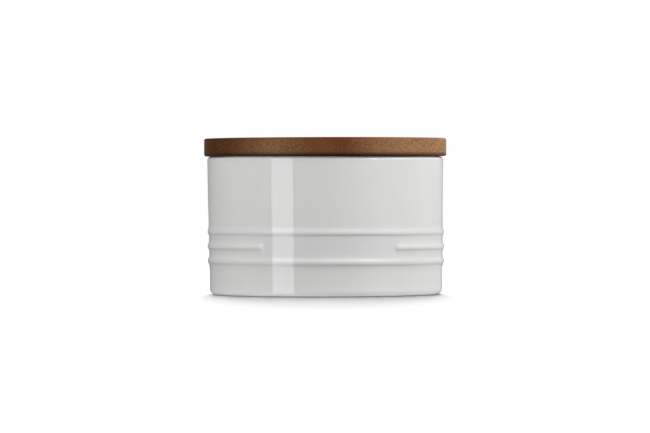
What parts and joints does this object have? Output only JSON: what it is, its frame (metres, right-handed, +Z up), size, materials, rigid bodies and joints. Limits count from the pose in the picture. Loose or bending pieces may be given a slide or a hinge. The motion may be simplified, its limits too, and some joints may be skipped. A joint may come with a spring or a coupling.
{
  "type": "bread bin",
  "caption": "Round glazed stoneware bread bin with ribs round its wall and a turned wooden lid that lifts off, plugged and sealed in the mouth.",
  "frame": {"origin": "centre of the foot, on the surface that the bin stands on", "axes": "+Z up along the bin's axis, -Y to the front, where the middle rib is open, +X to the right; the lid's staves run along Y"},
  "size_m": [0.3, 0.3, 0.193],
  "materials": {
    "glaze": "gloss",
    "wood": "satin",
    "silicone": "matte"
  },
  "bodies": {
    "crock": {"crock": "glaze"},
    "lid": {"stave_1": "wood", "stave_2": "wood", "stave_3": "wood", "stave_4": "wood", "stave_5": "wood", "seal": "silicone"}
  },
  "joints": [
    {"name": "lid_lift", "type": "slide", "parent": "crock", "child": "lid", "axis": [0, 0, 1], "range_m": [0, 0.2]}
  ]
}
